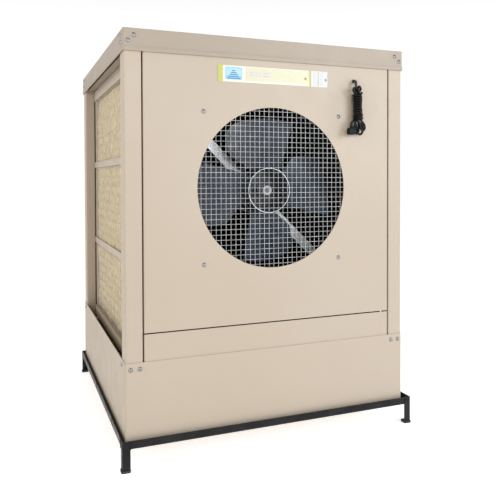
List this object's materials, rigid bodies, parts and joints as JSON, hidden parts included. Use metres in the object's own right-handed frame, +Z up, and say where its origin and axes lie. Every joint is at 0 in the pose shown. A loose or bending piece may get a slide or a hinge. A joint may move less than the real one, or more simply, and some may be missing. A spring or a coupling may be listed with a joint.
{
  "type": "evaporative cooler",
  "caption": "Sheet-metal evaporative cooler on an angle stand: wet wood-wool pads on its sides and rear, a guarded axial fan in front, a water tank below and a tied power cord.",
  "frame": {"origin": "on the floor, at the middle of the stand", "axes": "+Z up, +X to the right as seen from the fan side, the fan side faces -Y"},
  "size_m": [0.791, 0.829, 1.016],
  "materials": {
    "beige_powder": "satin powder coat",
    "black_paint": "satin black enamel",
    "galvanised": "galvanised sheet",
    "guard_wire": "coated wire",
    "net_wire": "galvanised wire",
    "zinc_fastener": "bright zinc plate",
    "blade_paint": "semi-gloss dark blue-grey",
    "motor_paint": "satin dark grey",
    "rotor_steel": "bare steel",
    "wood_wool": "shredded wood fibre",
    "label_print": "printed plate",
    "black_rubber": "moulded rubber",
    "black_vinyl": "glossy vinyl",
    "dark_plastic": "moulded plastic",
    "grey_plastic": "moulded plastic",
    "hose_vinyl": "soft vinyl hose",
    "brass": "cast brass",
    "float_plastic": "moulded plastic",
    "dark_interior": "moulded plastic"
  },
  "bodies": {
    "cabinet": {"stand_rail_front": "black_paint", "stand_rail_rear": "black_paint", "stand_rail_left": "black_paint", "stand_rail_right": "black_paint", "stand_legs": "black_paint", "stand_feet": "black_rubber", "water_tank": "beige_powder", "top_cap": "beige_powder", "post_front_left": "beige_powder", "post_front_right": "beige_powder", "post_rear_left": "beige_powder", "post_rear_right": "beige_powder", "front_panel": "beige_powder", "front_lower_panel": "beige_powder", "top_frame": "beige_powder", "nameplate": "label_print", "nameplate_rivets": "zinc_fastener", "cabinet_screws": "zinc_fastener", "terminal_box": "dark_interior", "guard_mesh": "guard_wire", "guard_bolts": "zinc_fastener", "guard_nuts": "zinc_fastener", "motor_clamp": "galvanised", "motor_body": "motor_paint", "motor_cover_front": "motor_paint", "motor_cover_rear": "motor_paint", "pump_strainer": "dark_plastic", "pump_housing": "dark_plastic", "riser_hose": "hose_vinyl", "distribution_pipe": "grey_plastic", "float_valve_body": "brass", "float_valve_nut": "brass", "drain_outlet": "dark_plastic", "cord_gland": "black_rubber", "cord_stem": "black_vinyl", "cord_hank": "black_vinyl", "cord_plug": "black_vinyl", "water_trough_left": "galvanised", "water_trough_right": "galvanised", "water_trough_rear": "galvanised"},
    "fan": {"fan_shaft": "rotor_steel", "fan_hub": "blade_paint", "fan_blade_1": "blade_paint", "fan_blade_2": "blade_paint", "fan_blade_3": "blade_paint", "fan_blade_4": "blade_paint", "motor_rotor": "rotor_steel"},
    "pump_rotor": {"pump_impeller": "grey_plastic"},
    "pad_left": {"pad_frame_left": "beige_powder", "pad_media_left": "wood_wool", "pad_net_left": "net_wire"},
    "pad_right": {"pad_frame_right": "beige_powder", "pad_media_right": "wood_wool", "pad_net_right": "net_wire"},
    "pad_rear": {"pad_frame_rear": "beige_powder", "pad_media_rear": "wood_wool", "pad_net_rear": "net_wire"},
    "float": {"float_arm": "brass", "float_ball": "float_plastic"},
    "drain_plug": {"drain_cap": "dark_plastic"}
  },
  "joints": [
    {"name": "fan_spin", "type": "hinge", "parent": "cabinet", "child": "fan", "pos_m": [-0.008, -0.3, 0.641], "axis": [0, -1, 0], "continuous": true},
    {"name": "pump_impeller_spin", "type": "hinge", "parent": "cabinet", "child": "pump_rotor", "pos_m": [-0.186, 0.19, 0.09], "axis": [0, 0, 1], "continuous": true},
    {"name": "pad_left_tilt", "type": "hinge", "parent": "cabinet", "child": "pad_left", "pos_m": [-0.354, 0, 0.212], "axis": [0, -1, 0], "range_deg": [0, 18]},
    {"name": "pad_right_tilt", "type": "hinge", "parent": "cabinet", "child": "pad_right", "pos_m": [0.342, 0, 0.212], "axis": [0, 1, 0], "range_deg": [0, 18]},
    {"name": "pad_rear_tilt", "type": "hinge", "parent": "cabinet", "child": "pad_rear", "pos_m": [-0.006, 0.3615, 0.212], "axis": [-1, 0, 0], "range_deg": [0, 18]},
    {"name": "float_arm_lift", "type": "hinge", "parent": "cabinet", "child": "float", "pos_m": [0.33, 0.21, 0.194], "axis": [0, 1, 0], "range_deg": [0, 30]},
    {"name": "drain_cap_off", "type": "slide", "parent": "cabinet", "child": "drain_plug", "axis": [1, 0, 0], "range_m": [0, 0.025]}
  ]
}
